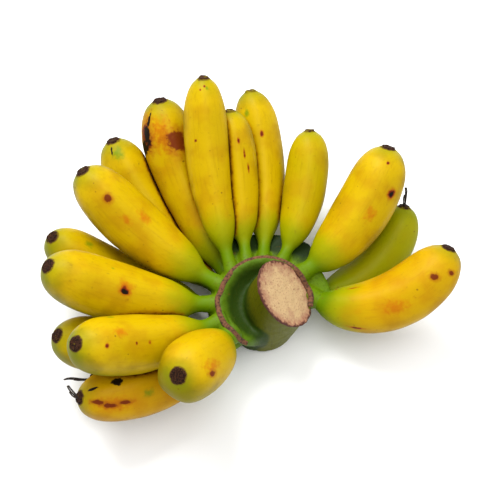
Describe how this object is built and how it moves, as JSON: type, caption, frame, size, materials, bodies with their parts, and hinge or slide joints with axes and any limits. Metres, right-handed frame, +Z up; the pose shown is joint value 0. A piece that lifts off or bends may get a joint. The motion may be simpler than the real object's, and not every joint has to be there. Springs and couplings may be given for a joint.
{
  "type": "hand of bananas",
  "caption": "Hand of small plump ripe bananas on its green crown with a slanted cut stem stub, lying on a surface",
  "frame": {"origin": "middle of the bounding box at the surface that the hand lies on", "axes": "+Z up, +X along the longest extent, from the fruits on the left of the fan to the ones on its right; the fan is open towards -Y"},
  "size_m": [0.262, 0.22, 0.1031],
  "materials": {
    "peel": "smooth, softly glossy peel, yellow with green towards the stalk",
    "crown": "green, fibrous, slightly waxy skin with a pale cut face",
    "dried_flower": "dry, dull and shrivelled"
  },
  "bodies": {
    "root": {"crown": "crown", "fruit_upper_01": "peel", "fruit_upper_02": "peel", "fruit_upper_03": "peel", "fruit_upper_04": "peel", "fruit_upper_05": "peel", "fruit_upper_06": "peel", "fruit_upper_07": "peel", "fruit_upper_08": "peel", "fruit_upper_09": "peel", "fruit_upper_10": "peel", "fruit_lower_01": "peel", "fruit_lower_02": "peel", "fruit_lower_03": "peel", "fruit_lower_04": "peel", "fruit_lower_05": "peel", "fruit_lower_06": "peel", "fruit_lower_07": "peel", "dried_flower_lower_01": "dried_flower", "dried_flower_lower_02": "dried_flower", "dried_flower_lower_07": "dried_flower"}
  },
  "joints": []
}
